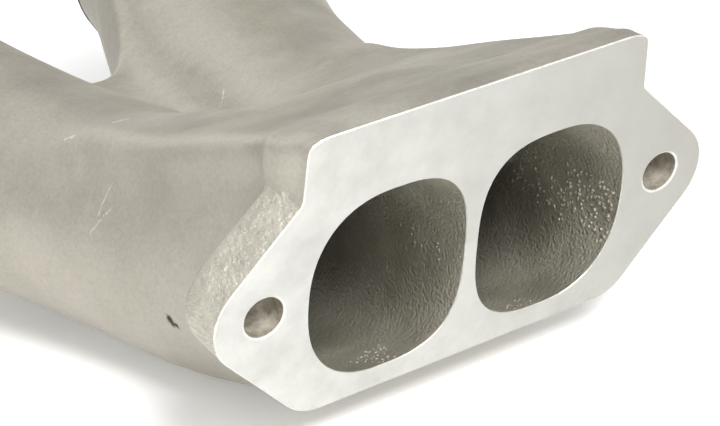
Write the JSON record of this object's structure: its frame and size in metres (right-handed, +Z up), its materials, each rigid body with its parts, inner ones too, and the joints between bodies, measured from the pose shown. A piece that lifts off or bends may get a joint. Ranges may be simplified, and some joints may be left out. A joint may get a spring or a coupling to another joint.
{
  "type": "intake manifold",
  "caption": "Cast aluminium twin-port intake manifold: a studded head flange whose side-by-side ports open into forked runners that end in separate carburettor flanges.",
  "frame": {"origin": "centre of the machined cylinder-head face, midway between its two stud holes, on the web that divides the ports", "axes": "+X runs from the left head stud to the right one for a viewer who faces the ports; +Y runs back along the runners towards the carburettor flanges; +Z is up as the part lies on a bench on its runner bellies and lower carburettor ears, so the head face looks 19.2 degrees below -Y"},
  "size_m": [0.186, 0.251, 0.1072],
  "materials": {
    "cast_aluminium": "fine blasted sand-cast skin, warm silver grey, with bright milled flange faces",
    "stud_steel": "plain drawn steel with a thin oil film",
    "zinc_plated_steel": "bright zinc plate",
    "spring_steel": "dark phosphated spring steel",
    "gasket_fibre": "pressed fibre sheet, matt grey green",
    "brass": "turned brass"
  },
  "bodies": {
    "root": {"manifold_casting": "cast_aluminium", "carb_gasket_left": "gasket_fibre", "carb_stud_left_upper": "stud_steel", "plain_washer_left_upper": "zinc_plated_steel", "spring_washer_left_upper": "spring_steel", "stud_nut_left_upper": "zinc_plated_steel", "carb_stud_left_lower": "stud_steel", "plain_washer_left_lower": "zinc_plated_steel", "spring_washer_left_lower": "spring_steel", "stud_nut_left_lower": "zinc_plated_steel", "hose_barb_left": "brass", "carb_gasket_right": "gasket_fibre", "carb_stud_right_upper": "stud_steel", "plain_washer_right_upper": "zinc_plated_steel", "spring_washer_right_upper": "spring_steel", "stud_nut_right_upper": "zinc_plated_steel", "carb_stud_right_lower": "stud_steel", "plain_washer_right_lower": "zinc_plated_steel", "spring_washer_right_lower": "spring_steel", "stud_nut_right_lower": "zinc_plated_steel", "hose_barb_right": "brass"}
  },
  "joints": []
}
